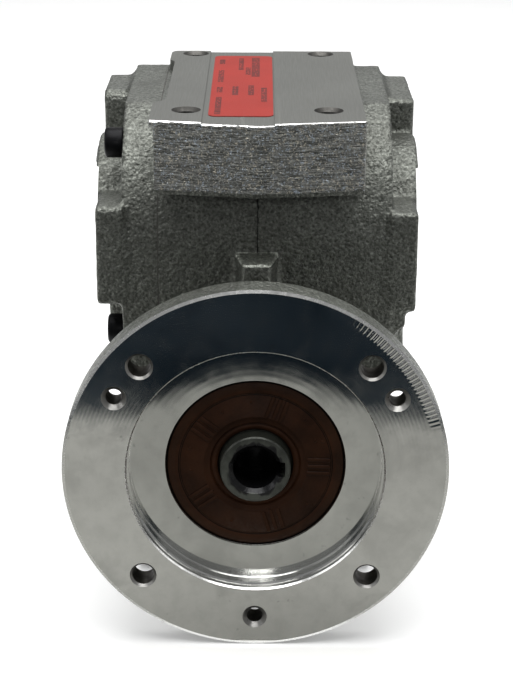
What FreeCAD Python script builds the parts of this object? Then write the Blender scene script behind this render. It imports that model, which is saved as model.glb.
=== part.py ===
import FreeCAD, Part
import math
import os

# Right angle gearbox: flange input along +Y, hollow output shaft along X.
# Frame: origin at the centre of the motor flange face on the input axis,
# +Y into the gearbox, +Z up, +X to the right seen from the motor.
# All lengths in millimetres.

os.makedirs("parts", exist_ok=True)
V = FreeCAD.Vector
doc = FreeCAD.newDocument("gearbox")

# ---------------------------------------------------------------- dimensions
sheet = doc.addObject("Spreadsheet::Sheet", "Dims")
DIMS = [
    # flange, standard 120 / 100 / 80 face
    ("flange_rad", 60.0), ("flange_thk", 9.3), ("bolt_circle", 50.0),
    ("bolt_hole", 3.5), ("tap_hole", 2.55), ("register_rad", 40.0),
    ("register_deep", 7.0), ("spigot_deep", 3.0), ("neck_rad", 34.0),
    # axes
    ("out_y", 94.15), ("out_z", 56.25), ("front_y", 49.6), ("back_y", 144.0),
    ("foot_z", -60.0), ("case_rad", 44.5), ("half_case", 44.0),
    ("half_wide", 53.0), ("arm_wide", 52.3), ("lug_wide", 54.0),
    ("low_right", 40.0), ("low_left", 41.0),
    ("joint_x", -32.0), ("gasket_thk", 0.4),
    ("shoulder_z", 98.5), ("lug_z", 94.7), ("lug_low_z", 4.0),
    ("arm_top", 71.0), ("arm_low", 37.6), ("notch_y", 95.0),
    # top block
    ("block_left", -32.0), ("block_right", 33.8), ("block_low", 79.5),
    ("block_top", 103.2), ("block_mid_y", 29.2), ("block_end_y", 34.4),
    ("block_inner", -29.6), ("top_x", 22.5), ("top_y_front", 49.15),
    ("top_y_back", 139.15), ("top_hole", 3.4), ("top_deep", 17.0),
    ("label_left", -17.2), ("label_right", 5.4), ("label_deep", 0.5),
    ("label_thk", 0.25),
    # chambers
    ("wheel_room", 40.3), ("crown_room", 38.2), ("room_right", 26.0),
    ("bore_room", 30.0), ("bore_room_right", 34.0),
    # seats
    ("seal_seat", 28.0), ("front_seat", 23.5), ("rear_seat", 21.0),
    ("out_seat", 23.5), ("mid_seat", 17.5), ("boss_rad", 27.8),
    # screws
    ("screw_rad", 3.0), ("head_rad", 5.0), ("head_tall", 6.0),
    ("screw_long", 24.0), ("screw_clear", 3.3), ("pin_rad", 2.0),
    # shafts
    ("hub_rad", 11.0), ("hub_front", 3.1), ("motor_bore", 7.0), ("hollow_bore", 10.0),
    ("hollow_rad", 15.0), ("mid_rad", 8.5), ("mid_gear_rad", 10.0),
]
for row, (alias, value) in enumerate(DIMS, start=1):
    sheet.set("A%d" % row, alias)
    sheet.set("B%d" % row, repr(value))
    sheet.setAlias("B%d" % row, alias)
doc.recompute()
D = {alias: value for alias, value in DIMS}


def ref(text):
    """Turn a word of the sheet, or a sum of words, into an expression."""
    if isinstance(text, (int, float)):
        return repr(float(text))
    out, word = "", ""
    for ch in text + " ":
        if ch.isalnum() or ch == "_" or ch == ".":
            word += ch
        else:
            out += ("Dims." + word if word and not word[0].isdigit() else word) + ch
            word = ""
    return out.strip()


def value(text):
    """The number that such an expression has now."""
    if isinstance(text, (int, float)):
        return float(text)
    total, sign, word = 0.0, 1.0, ""
    for ch in text.replace(" ", "") + "+":
        if ch in "+-":
            if word:
                total += sign * (D[word] if word in D else float(word))
                sign = 1.0
            sign = sign if ch == "+" else -sign
            word = ""
        else:
            word += ch
    return total


def bind(obj, prop, text):
    obj.setExpression(prop, ref(text))


def place(obj, x, y, z, rot=None):
    obj.Placement = FreeCAD.Placement(V(value(x), value(y), value(z)),
                                      rot or FreeCAD.Rotation())
    for axis, item in (("x", x), ("y", y), ("z", z)):
        if isinstance(item, str):
            bind(obj, "Placement.Base." + axis, item)


TURN = {"X": FreeCAD.Rotation(V(0, 1, 0), 90), "Y": FreeCAD.Rotation(V(1, 0, 0), -90),
        "Z": FreeCAD.Rotation()}


def box(name, xs, ys, zs):
    obj = doc.addObject("Part::Box", name)
    for prop, (low, high) in (("Length", xs), ("Width", ys), ("Height", zs)):
        if isinstance(low, str) or isinstance(high, str):
            bind(obj, prop, "%s-(%s)" % (high, low))
        else:
            setattr(obj, prop, high - low)
    place(obj, xs[0], ys[0], zs[0])
    return obj


def cyl(name, axis, rad, start, end, a, b):
    """Cylinder along an axis from start to end; a, b are the other two
    coordinates of its line, in X, Y, Z order."""
    obj = doc.addObject("Part::Cylinder", name)
    bind(obj, "Radius", rad)
    bind(obj, "Height", "%s-(%s)" % (end, start))
    spot = {"X": (start, a, b), "Y": (a, start, b), "Z": (a, b, start)}[axis]
    place(obj, spot[0], spot[1], spot[2], TURN[axis])
    return obj


def fuse(name, items, refine=False):
    obj = doc.addObject("Part::MultiFuse", name)
    obj.Shapes = items
    obj.Refine = refine
    return obj


def cut(name, base, tool, refine=False):
    obj = doc.addObject("Part::Cut", name)
    obj.Base = base
    obj.Tool = tool
    obj.Refine = refine
    return obj


def common(name, items):
    obj = doc.addObject("Part::MultiCommon", name)
    obj.Shapes = items
    return obj


def group(name, items):
    obj = doc.addObject("Part::Compound", name)
    obj.Links = items
    return obj


def plane_of(body, role):
    for item in body.Origin.OriginFeatures:
        if item.Role == role:
            return item


def profile(body, role, points, name):
    """Closed polygon sketch on one of the body's planes, every corner held
    by a distance from the origin that is read from the sheet."""
    sk = body.newObject("Sketcher::SketchObject", name)
    sk.AttachmentSupport = [(plane_of(body, role), "")]
    sk.MapMode = "FlatFace"
    nums = [(value(p[0]), value(p[1])) for p in points]
    count = len(nums)
    for i in range(count):
        p, q = nums[i], nums[(i + 1) % count]
        sk.addGeometry(Part.LineSegment(V(p[0], p[1], 0), V(q[0], q[1], 0)), False)
    for i in range(count):
        sk.addConstraint(Sketcher.Constraint("Coincident", i, 2, (i + 1) % count, 1))
    for i in range(count):
        for kind, k in (("DistanceX", 0), ("DistanceY", 1)):
            if abs(nums[i][k]) < 1e-9:
                sk.addConstraint(Sketcher.Constraint(
                    "PointOnObject", i, 1, -2 if k == 0 else -1))
                continue
            index = sk.addConstraint(Sketcher.Constraint(kind, i, 1, nums[i][k]))
            if isinstance(points[i][k], str):
                sk.setExpression("Constraints[%d]" % index, ref(points[i][k]))
    return sk


import Sketcher


def turned(name, axis, points, y=0.0, z=0.0):
    """Turned piece. points are (along, radius); axis Y or X."""
    body = doc.addObject("PartDesign::Body", name)
    flat = [(r, a) if axis == "Y" else (a, r) for a, r in points]
    sk = profile(body, "XY_Plane", flat, name + "_section")
    rev = body.newObject("PartDesign::Revolution", name + "_turned")
    rev.Profile = sk
    rev.ReferenceAxis = (sk, ["V_Axis" if axis == "Y" else "H_Axis"])
    rev.Angle = 360.0
    body.Tip = rev
    place(body, 0.0, y, z)
    return body


def padded(name, role, points, start, length, rounds=()):
    """Prism of a polygon. role YZ_Plane: points (y, z), grown along X;
    XY_Plane: points (x, y), grown along Z. rounds: (corner, radius)."""
    body = doc.addObject("PartDesign::Body", name)
    sk = profile(body, role, points, name + "_outline")
    pad = body.newObject("PartDesign::Pad", name + "_pad")
    pad.Profile = sk
    pad.setExpression("Length", ref(length))
    body.Tip = pad
    if rounds:
        doc.recompute()
        for number, (corners, radius) in enumerate(rounds):
            base = body.Tip
            names = []
            for i, edge in enumerate(base.Shape.Edges, start=1):
                a, b = edge.Vertexes[0].Point, edge.Vertexes[-1].Point
                for c in corners:
                    px, py = value(points[c][0]), value(points[c][1])
                    if role == "YZ_Plane":
                        hit = all(abs(q.y - px) < 1e-4 and abs(q.z - py) < 1e-4
                                  for q in (a, b))
                    else:
                        hit = all(abs(q.x - px) < 1e-4 and abs(q.y - py) < 1e-4
                                  for q in (a, b))
                    if hit and abs((b - a).Length) > 0.1:
                        names.append("Edge%d" % i)
            if names:
                fil = body.newObject("PartDesign::Fillet", "%s_round%d" % (name, number))
                fil.Base = (base, names)
                fil.Radius = radius
                body.Tip = fil
                doc.recompute()
    if role == "YZ_Plane":
        place(body, start, 0.0, 0.0)
    else:
        place(body, 0.0, 0.0, start)
    return body


NODES = []


def node(obj, name):
    obj.Label = name
    NODES.append(obj)
    return obj


# ------------------------------------------------------------------- housing
# Outer shape: flange and neck, round wheel case with a square back, lower
# case, right side boss layer, top mounting block.
h_flange = turned("h_flange", "Y", [
    (0.0, 0.0), (0.0, "flange_rad-0.95"), (0.45, "flange_rad"),
    ("flange_thk-0.4", "flange_rad"), ("flange_thk", "flange_rad-0.4"),
    ("flange_thk", "neck_rad+3"), ("flange_thk+3", "neck_rad"),
    ("front_y-3", "neck_rad"), ("front_y", "neck_rad+3"), (58.0, "neck_rad+3"), (58.0, 0.0)])


def case_layers(tag, x_in, x_case, x_low, side):
    """The shape shared by housing and cover between the joint and the
    round wheel case's outer face; side is +1 right, -1 left."""
    lo, hi = (x_in, x_case) if side > 0 else (x_case, x_in)
    llo, lhi = (x_in, x_low) if side > 0 else (x_low, x_in)
    drum = cyl(tag + "_drum", "X", "case_rad", lo, hi, "out_y", "out_z")
    back = padded(tag + "_back", "YZ_Plane", [
        ("out_y", 15.0), ("back_y", 15.0), ("back_y", "shoulder_z"), ("out_y", "shoulder_z")],
        lo, "%s-(%s)" % (hi, lo), [((2,), 2.0)])
    front = padded(tag + "_front", "YZ_Plane", [
        ("front_y", 15.0), ("out_y", 15.0), ("out_y", "out_z"), ("front_y", "out_z")],
        lo, "%s-(%s)" % (hi, lo))
    low = padded(tag + "_low", "YZ_Plane", [
        ("front_y", "foot_z"), ("back_y", "foot_z"), ("back_y", 17.0), ("front_y", 17.0)],
        llo, "%s-(%s)" % (lhi, llo), [((0, 1), 9.0)])
    body = fuse(tag + "_layers", [drum, back, front, low])
    limit = box(tag + "_limit", (-60.0, 60.0), (0.0, 150.0), ("foot_z", "shoulder_z"))
    return common(tag + "_core", [body, limit])


def side_layer(tag, side, arm_low, arm_top, lug_front, edge, lug_edge):
    """Boss layer outside the round case: an arm to the front, whose top
    slopes up to the upper lug at the back, a lower lug, and the round boss
    of the output bearing. side is +1 right, -1 left."""
    def span(word):
        if side > 0:
            return "half_case-1", word
        return "-" + word, "1-half_case"

    low, high = span("arm_wide")
    plate = padded(tag + "_plate", "YZ_Plane", [
        ("front_y-0.4", arm_low), ("notch_y", arm_low), ("notch_y", "lug_low_z"),
        ("back_y-1", "lug_low_z"), ("back_y-1", 93.0), (lug_front + 1.0, 93.0),
        (lug_front + 1.0, 79.5), (73.0, arm_top), ("front_y-0.4", arm_top)],
        low, "%s-(%s)" % (high, low),
        [((1,), 9.0), ((6, 7), 5.0), ((0,), 2.0), ((8,), edge), ((2,), 6.0)])
    low, high = span("lug_wide")
    upper = padded(tag + "_upper", "YZ_Plane", [
        (lug_front, 78.0), ("back_y", 78.0), ("back_y", "lug_z"), (lug_front, "lug_z")],
        low, "%s-(%s)" % (high, low), [((3,), lug_edge), ((2,), 2.0)])
    low, high = span("half_wide")
    boss = cyl(tag + "_boss", "X", "boss_rad", low, high, "out_y", "out_z")
    # sloped filling in the corner between the shoulder and the upper lug
    fill = doc.addObject("Part::Box", tag + "_fill")
    fill.Length, fill.Width, fill.Height = 3.4, 143.0 - lug_front - 1.5, 3.4
    fill.Placement = FreeCAD.Placement(V(side * D["half_case"] - 2.404, lug_front + 1.5, D["lug_z"]),
                                       FreeCAD.Rotation(V(0, 1, 0), 45))
    return fuse(tag + "_side", [plate, upper, boss, fill])


h_core = case_layers("h", "joint_x", "half_case", "low_right", 1)
h_side = side_layer("h", 1, 35.4, 69.5, 102.5, 1.0, 1.2)
h_block = padded("h_block", "XY_Plane", [
    ("block_left", "block_end_y"), (0.5, "block_mid_y"), ("block_right", "block_end_y"),
    ("block_right", "back_y"), ("block_inner-0.6", "back_y"), ("block_inner-1.9", "back_y-2.5"),
    ("block_inner-1.9", 127.5), ("block_inner", 125.5), ("block_inner", 66.0),
    ("block_left+0.8", 61.0), ("block_left", 59.0)],
    "block_low", "block_top-block_low")
h_rib = padded("h_rib", "XY_Plane", [
    (-4.4, 38.0), (4.4, 38.0), (7.2, 50.5), (7.2, 55.0), (-7.2, 55.0), (-7.2, 50.5)],
    25.0, 30.6, [((0, 1), 1.5)])
# The neck's collar stops at the joint plane; beyond it lies the cover.
h_neck = cut("h_neck", h_flange, box("h_collar", (-45.0, "joint_x"), ("front_y-0.05", 60.0), (-45.0, 45.0)))
# Corner below the right arm, with a round cast hollow in it.
h_corner = box("h_corner", (43.0, 49.2), ("front_y+0.6", 66.0), (16.0, 38.0))
scoop = doc.addObject("Part::Sphere", "h_scoop")
scoop.Radius = 5.6
place(scoop, 50.8, 52.5, 25.4)
h_pocket = cut("h_pocket", h_corner, scoop)
h_outer = fuse("h_outer", [h_neck, h_core, h_side, h_block, h_rib, h_pocket])

# Rooms: wheel chamber, its narrower right end, bevel chamber, oil sump.
r_wheel = cyl("r_wheel", "X", "wheel_room", "joint_x-1", "room_right", "out_y", "out_z")
r_right = cyl("r_right", "X", "bore_room", "room_right-1", "bore_room_right", "out_y", "out_z")
r_crown = cyl("r_crown", "X", "crown_room", "joint_x-1", "room_right", "out_y", 0.0)
r_sump = box("r_sump", ("joint_x-1", "room_right-4"), (78.0, 110.0), (-52.0, -30.0))
rooms = fuse("rooms", [r_wheel, r_right, r_crown, r_sump])
SCREWS = [(69.3, 87.5), (64.0, 24.5), (121.7, 85.2), (124.3, 24.5), (66.0, -42.0), (122.3, -42.0)]
bosses = [cyl("screw_boss%d" % i, "X", 6.4, "joint_x-2", -18.0 if z > 0 else -15.0, y, z)
          for i, (y, z) in enumerate(SCREWS)]
h_rooms = cut("h_rooms", rooms, fuse("screw_bosses", bosses))

# Stepped bore of the input side, from the register to the bevel chamber.
h_input = turned("h_input", "Y", [
    (-1.0, 0.0), (-1.0, "register_rad+0.4"), (0.0, "register_rad+0.4"), (0.6, "register_rad"),
    ("spigot_deep", "register_rad"), ("spigot_deep+0.3", "register_rad-0.5"),
    ("register_deep", "register_rad-0.5"), ("register_deep", "seal_seat+0.3"),
    ("register_deep+0.4", "seal_seat"), (15.0, "seal_seat"), (15.0, "front_seat"), (29.0, "front_seat"),
    (29.0, "rear_seat"), (60.5, "rear_seat"), (60.5, 0.0)])
h_tools = [h_rooms, h_input]
# Output bearing and seal seat, intermediate bearing seat, on the right.
h_tools.append(cyl("h_outseat", "X", "out_seat", "bore_room_right-1", 60.0, "out_y", "out_z"))
h_tools.append(cyl("h_midseat", "X", "mid_seat", "room_right-1", 36.5, "out_y", 0.0))
# Flange holes: four clearance holes at 45 degrees, three tapped at 30, 150, 270.
for i, deg in enumerate((45, 135, 225, 315)):
    x, z = 50.0 * math.cos(math.radians(deg)), 50.0 * math.sin(math.radians(deg))
    h_tools.append(cyl("h_hole%d" % i, "Y", "bolt_hole", -1.0, 20.0, x, z))
    cone = doc.addObject("Part::Cone", "h_sink%d" % i)
    cone.Radius1, cone.Radius2, cone.Height = 4.6, 3.5, 1.1
    place(cone, x, -0.6, z, TURN["Y"])
    h_tools.append(cone)
for i, deg in enumerate((30, 150, 270)):
    x, z = 50.0 * math.cos(math.radians(deg)), 50.0 * math.sin(math.radians(deg))
    h_tools.append(cyl("h_tap%d" % i, "Y", "tap_hole", -1.0, 20.0, x, z))
    cone = doc.addObject("Part::Cone", "h_tapsink%d" % i)
    cone.Radius1, cone.Radius2, cone.Height = 4.1, 2.55, 1.55
    place(cone, x, -0.6, z, TURN["Y"])
    h_tools.append(cone)
# Top face: four tapped holes and the shallow label recess.
for i, (x, y) in enumerate((("-top_x", "top_y_front"), ("top_x", "top_y_front"),
                            ("-top_x", "top_y_back"), ("top_x", "top_y_back"))):
    h_tools.append(cyl("h_top%d" % i, "Z", "top_hole", "block_top-top_deep", "block_top+1", x, y))
    cone = doc.addObject("Part::Cone", "h_topsink%d" % i)
    cone.Radius1, cone.Radius2, cone.Height = 3.4, 5.0, 1.6
    place(cone, x, y, "block_top-1.3")
    h_tools.append(cone)
h_tools.append(box("h_label", ("label_left", "label_right"), (20.0, 150.0),
                   ("block_top-label_deep", "block_top+1")))
# Cover screw threads, dowel holes, oil drain.
for i, (y, z) in enumerate(SCREWS):
    h_tools.append(cyl("h_thread%d" % i, "X", "screw_rad", -33.0, -19.5 if z > 0 else -16.5, y, z))
DOWELS = [(56.4, 56.25), (137.0, -20.0)]
for i, (y, z) in enumerate(DOWELS):
    h_tools.append(cyl("h_dowel%d" % i, "X", "pin_rad", -33.0, -24.0, y, z))
h_tools.append(cyl("h_drain", "Y", 4.0, 120.0, 145.0, 0.0, -40.0))
h_cut = cut("h_cut", h_outer, fuse("h_cuts", h_tools), True)
node(h_cut, "gear_housing")

# --------------------------------------------------------------------- cover
c_core = case_layers("c", "joint_x-gasket_thk", "-half_case", "-low_left", -1)
c_side = side_layer("c", -1, 37.6, 71.0, 113.6, 1.8, 4.0)
c_low = cyl("c_lowboss", "X", 22.0, -46.0, -40.0, "out_y", 0.0)
c_outer = fuse("c_outer", [c_core, c_side, c_low])
c_tools = [cyl("c_outseat", "X", "out_seat", -60.0, -30.0, "out_y", "out_z"),
           cyl("c_midseat", "X", "mid_seat", -43.5, -30.0, "out_y", 0.0),
           cyl("c_pocket", "X", 29.0, -36.0, -30.0, "out_y", "out_z")]
for i, (y, z) in enumerate(SCREWS):
    c_tools.append(cyl("c_clear%d" % i, "X", "screw_clear", -60.0, -30.0, y, z))
    # head room in the notch wall, deeper where the wall is thicker
    end = -44.0 if z > 0 else -41.0
    c_tools.append(cyl("c_sink%d" % i, "X", 5.6, -60.0, end, y, z))
for i, (y, z) in enumerate(DOWELS):
    c_tools.append(cyl("c_dowel%d" % i, "X", "pin_rad", -38.0, -30.0, y, z))
c_cut = cut("c_cut", c_outer, fuse("c_cuts", c_tools), True)
node(c_cut, "side_cover")

# Gasket, cut to the joint face.
g_layers = case_layers("g", "joint_x", "joint_x-gasket_thk", "joint_x-gasket_thk", -1)
g_tools = [cyl("g_wheel", "X", "wheel_room", -40.0, -30.0, "out_y", "out_z"),
           cyl("g_crown", "X", "crown_room", -40.0, -30.0, "out_y", 0.0)]
g_room = cut("g_room", fuse("g_rooms", g_tools), fuse("g_bosses", [
    cyl("g_boss%d" % i, "X", 6.4, -41.0, -29.0, y, z) for i, (y, z) in enumerate(SCREWS)]))
g_holes = [g_room] + [cyl("g_hole%d" % i, "X", "screw_clear", -40.0, -30.0, y, z)
                      for i, (y, z) in enumerate(SCREWS)]
g_holes += [cyl("g_dowel%d" % i, "X", "pin_rad", -40.0, -30.0, y, z)
            for i, (y, z) in enumerate(DOWELS)]
gasket = cut("gasket", g_layers, fuse("g_cuts", g_holes), True)
node(gasket, "cover_gasket")

# Socket head cap screws M6 along X, heads to the left.
screws = []
for i, (y, z) in enumerate(SCREWS):
    seat = -44.0 if z > 0 else -41.0
    head = cyl("s_head%d" % i, "X", "head_rad", "%s-head_tall" % seat, seat, y, z)
    shank = cyl("s_shank%d" % i, "X", "screw_rad", seat - 0.5, "%s+screw_long" % seat, y, z)
    hexa = doc.addObject("Part::Prism", "s_hex%d" % i)
    hexa.Polygon, hexa.Circumradius, hexa.Height = 6, 2.9, 3.6
    place(hexa, seat - 6.5, y, z, TURN["X"])
    screws.append(cut("s_screw%d" % i, fuse("s_solid%d" % i, [head, shank]), hexa))
node(group("screws", screws), "cover_screws")
node(group("dowels", [cyl("d_pin%d" % i, "X", "pin_rad", -37.5, -24.5, y, z)
                      for i, (y, z) in enumerate(DOWELS)]), "dowel_pins")


# ------------------------------------------------------------------ bearings
def bearing(tag, axis, d, big, wide, start, balls, y, z):
    """Deep groove ball bearing: outer and inner ring with grooves, balls
    and a pressed cage. start is the lower end along the axis."""
    pitch = (d + big) / 4.0
    ball = 0.15 * (big - d)
    gap = 0.06
    mid = start + wide / 2.0
    land = 0.42 * ball
    a, b = (y, z) if axis == "X" else (0.0, 0.0)

    def ring(name, small, large):
        tube = cut(name + "_tube", cyl(name + "_out", axis, large, start, start + wide, a, b),
                   cyl(name + "_in", axis, small, start - 1, start + wide + 1, a, b))
        torus = doc.addObject("Part::Torus", name + "_groove")
        torus.Radius1, torus.Radius2 = pitch, ball + gap
        spot = (mid, a, b) if axis == "X" else (a, mid, b)
        place(torus, spot[0], spot[1], spot[2], TURN[axis])
        return cut(name, tube, torus)

    node(ring(tag + "_or", pitch + land, big / 2.0), tag + "_outer_ring")
    node(ring(tag + "_ir", d / 2.0, pitch - land), tag + "_inner_ring")
    spheres, pockets = [], []
    hub = V(mid, value(a), value(b)) if axis == "X" else V(0, mid, 0)
    for k in range(balls):
        spin = TURN[axis].multiply(FreeCAD.Rotation(V(0, 0, 1), 360.0 * k / balls + 12.0))
        s = doc.addObject("Part::Sphere", "%s_ball%d" % (tag, k))
        s.Radius = ball
        s.Placement = FreeCAD.Placement(hub + spin.multVec(V(pitch, 0, 0)), spin)
        spheres.append(s)
        w = doc.addObject("Part::Box", "%s_window%d" % (tag, k))
        w.Length, w.Width, w.Height = ball, 2 * ball + 0.2, 2 * ball + 0.2
        w.Placement = FreeCAD.Placement(
            hub + spin.multVec(V(pitch - ball / 2, -ball - 0.1, -ball - 0.1)), spin)
        pockets.append(w)
    node(group(tag + "_ballset", spheres), tag + "_balls")
    half = ball + 0.8
    band = cut(tag + "_band", cyl(tag + "_cage_out", axis, pitch + 0.24 * ball, mid - half, mid + half, a, b),
               cyl(tag + "_cage_in", axis, pitch - 0.24 * ball, mid - half - 1, mid + half + 1, a, b))
    node(cut(tag + "_cage", band, group(tag + "_pockets", pockets)), tag + "_cage")


bearing("input_front_bearing", "Y", 25.0, 47.0, 12.0, 17.0, 9, 0, 0)
bearing("input_rear_bearing", "Y", 20.0, 42.0, 12.0, 38.0, 9, 0, 0)
bearing("mid_left_bearing", "X", 17.0, 35.0, 10.0, -43.5, 9, "out_y", 0.0)
bearing("mid_right_bearing", "X", 17.0, 35.0, 10.0, 26.5, 9, "out_y", 0.0)
bearing("output_left_bearing", "X", 30.0, 47.0, 9.0, -45.0, 12, "out_y", "out_z")
bearing("output_right_bearing", "X", 30.0, 47.0, 9.0, 36.0, 12, "out_y", "out_z")

# ------------------------------------------------------------ seals and shafts
# Input shaft seal 25 x 56 x 8: outer shell, web, main lip, dust lip, raised
# rib groups inside a fine ring groove.
seal_body = turned("seal_body", "Y", [
    (7.0, 14.3), (7.0, 23.6), (7.25, 23.75), (7.25, 24.05), (7.0, 24.2), (7.1, 26.6),
    (7.9, "seal_seat"), (15.0, "seal_seat"), (15.0, "seal_seat-2"), (9.2, "seal_seat-2"),
    (9.2, 18.0), (12.6, 14.8), (12.6, 13.2), (11.6, 12.53), (10.6, 13.2), (9.6, 13.4),
    (8.7, 11.7), (8.3, 11.35), (7.7, 11.9), (7.3, 12.6), (7.3, 13.3), (7.6, 13.7), (7.6, 13.95)])
ribs = [seal_body]
for g in range(5):
    for k in (-1, 0, 1):
        rib = doc.addObject("Part::Box", "rib_%d_%d" % (g, k + 1))
        rib.Length, rib.Width, rib.Height = 7.4, 1.0, 1.1
        t = math.radians(70.5 + 72.0 * g)
        c, s = math.cos(t), math.sin(t)
        off = 2.3 * k - 0.5
        x, z = 15.8 * c - off * s, 15.8 * s + off * c
        rib.Placement = FreeCAD.Placement(V(x, 6.85, z), FreeCAD.Rotation(V(0, -1, 0), math.degrees(t)))
        ribs.append(rib)
node(fuse("seal_in", ribs), "input_seal")

# Hollow input shaft: bore for the motor shaft with keyway, seats, stem bore.
in_turned = turned("in_turned", "Y", [
    ("hub_front", 8.3), ("hub_front", "hub_rad-0.4"), ("hub_front+0.4", "hub_rad"),
    (8.6, "hub_rad"), (9.6, 12.5), (29.0, 12.5),
    (29.0, 14.5), (38.0, 14.5), (38.0, 10.0), (56.0, 10.0), (56.0, 6.0), (39.5, 6.0),
    (39.5, 3.0), (36.0, 3.0), (36.0, "motor_bore"), ("hub_front+1.3", "motor_bore")])
in_key = box("in_key", (4.0, 9.3), (2.0, 36.0), (-2.5, 2.5))
in_ring = cut("in_ring", cyl("in_ring_out", "Y", 12.0, 50.1, 51.3, 0.0, 0.0),
              cyl("in_ring_in", "Y", 9.5, 49.0, 53.0, 0.0, 0.0))
node(cut("in_shaft", cut("in_keyed", in_turned, in_key), in_ring, True), "input_shaft")

# Retaining rings: input shaft behind its rear bearing.
ring_in = cut("ring_in", cyl("ring_in_out", "Y", 11.6, 50.15, 51.25, 0.0, 0.0),
              cyl("ring_in_bore", "Y", 9.55, 49.0, 53.0, 0.0, 0.0))
ring_gap = box("ring_in_gap", (-2.5, 2.5), (49.0, 53.0), (5.0, 15.0))
node(cut("ring_in_open", ring_in, ring_gap), "input_circlip")

# Output hollow shaft and its spacer, bore 20 with a 6 mm keyway.
out_turned = turned("out_turned", "X", [
    ("-half_wide", "hollow_bore+0.6"), ("-half_wide", "hollow_rad-0.8"), ("0.8-half_wide", "hollow_rad"),
    (0.0, "hollow_rad"), (0.0, 17.0), (36.0, 17.0), (36.0, "hollow_rad"),
    ("half_wide-0.8", "hollow_rad"), ("half_wide", "hollow_rad-0.8"), ("half_wide", "hollow_bore+0.6"),
    ("half_wide-0.6", "hollow_bore"), ("0.6-half_wide", "hollow_bore")], "out_y", "out_z")
out_key = box("out_key", (-60.0, 60.0), ("out_y-3", "out_y+3"), ("out_z+5", "out_z+12.8"))
node(cut("out_shaft", out_turned, out_key, True), "output_shaft")
node(turned("out_spacer", "X", [(-36.0, 15.0), (-36.0, 17.0), (-16.0, 17.0), (-16.0, 15.0)],
            "out_y", "out_z"), "output_spacer")
for side, tag in ((-1, "left"), (1, "right")):
    s = side
    node(turned("seal_out_" + tag, "X", [
        (s * 52.6, 16.6), (s * 52.6, 22.7), (s * 52.1, 23.5), (s * 46.0, 23.5), (s * 46.0, 21.8),
        (s * 51.2, 21.8), (s * 51.2, 18.2), (s * 47.4, 16.6), (s * 47.4, 15.6), (s * 48.4, 15.03),
        (s * 49.6, 15.5), (s * 51.4, 15.9)], "out_y", "out_z"), "output_seal_" + tag)

# Intermediate shaft, its sleeve and the two parallel keys.
mid_turned = turned("mid_turned", "X", [
    (-43.0, 0.0), (-43.0, "mid_rad-0.5"), (-42.5, "mid_rad"), (-33.5, "mid_rad"), (-33.5, 13.0),
    (-16.0, 13.0), (-16.0, "mid_gear_rad"), (26.5, "mid_gear_rad"), (26.5, "mid_rad"),
    (35.5, "mid_rad"), (36.0, "mid_rad-0.5"), (36.0, 0.0)], "out_y", 0.0)
KEYS = [(-14.5, -1.5), (10.5, 24.5)]
keyseat = fuse("keyseats", [box("keyseat%d" % i, (a, b), ("out_y-3", "out_y+3"), (6.5, 12.0))
                            for i, (a, b) in enumerate(KEYS)])
node(cut("mid_shaft", mid_turned, keyseat, True), "intermediate_shaft")
node(group("gear_keys", [box("gear_key%d" % i, (a, b), ("out_y-3", "out_y+3"), (6.5, 12.4))
                         for i, (a, b) in enumerate(KEYS)]), "gear_keys")
node(turned("mid_sleeve", "X", [(0.0, 10.0), (0.0, 13.0), (8.0, 13.0), (8.0, 10.0)],
            "out_y", 0.0), "intermediate_sleeve")


# --------------------------------------------------------------------- gears
def inv(a):
    return math.tan(a) - a


def tooth_flank(z, pitch_r, base_r, tip_r, root_r, alpha, slack, steps=7):
    """(radius, half angle) from root to tip for an involute tooth whose
    thickness at the pitch circle is slack/2 less than half the pitch."""
    half = (math.pi * pitch_r / z - slack / 2.0) / (2.0 * pitch_r)
    start = max(base_r, root_r)
    out = []
    for i in range(steps + 1):
        r = start + (tip_r - start) * i / steps
        a = math.acos(min(1.0, base_r / r))
        out.append((r, half + inv(alpha) - inv(a)))
    if root_r < base_r:
        out.insert(0, (root_r, out[0][1]))
    return out


def spur(name, teeth, module, add, ded, width, start, turn, slack):
    """Spur gear outline in the YZ plane about its own origin, first tooth
    at angle turn measured from +Y towards +Z, grown along +X."""
    pr = module * teeth / 2.0
    alpha = math.radians(20.0)
    flank = tooth_flank(teeth, pr, pr * math.cos(alpha), pr + add, pr - ded, alpha, slack)
    pts = []
    for k in range(teeth):
        c = turn + 2 * math.pi * k / teeth
        for r, h in flank:
            pts.append(V(start, r * math.cos(c - h), r * math.sin(c - h)))
        for r, h in reversed(flank):
            pts.append(V(start, r * math.cos(c + h), r * math.sin(c + h)))
    face = Part.Face(Part.makePolygon(pts + [pts[0]]))
    solid = face.extrude(V(width, 0, 0))
    return solid


MOD = 1.5
wheel_shape = spur("wheel", 50, MOD, 1.4, 1.85, 16.0, -16.0,
                   -math.pi / 2 + math.pi / 50, 0.12)
# bore, light web recess on both faces and six holes
wheel_cut = Part.makeCylinder(15.0, 30.0, V(-25, 0, 0), V(1, 0, 0))
wheel_shape = wheel_shape.cut(wheel_cut)
for x0 in (-17.0, -4.0):
    ring = Part.makeCylinder(33.0, 5.0, V(x0, 0, 0), V(1, 0, 0)).cut(
        Part.makeCylinder(20.5, 7.0, V(x0 - 1, 0, 0), V(1, 0, 0)))
    wheel_shape = wheel_shape.cut(ring)
for k in range(6):
    t = math.radians(60 * k + 30)
    wheel_shape = wheel_shape.cut(Part.makeCylinder(
        3.6, 30.0, V(-25, 26.8 * math.cos(t), 26.8 * math.sin(t)), V(1, 0, 0)))
wheel = doc.addObject("Part::Feature", "wheel")
wheel.Shape = wheel_shape
place(wheel, 0.0, "out_y", "out_z")
node(wheel, "output_gear")

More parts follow.
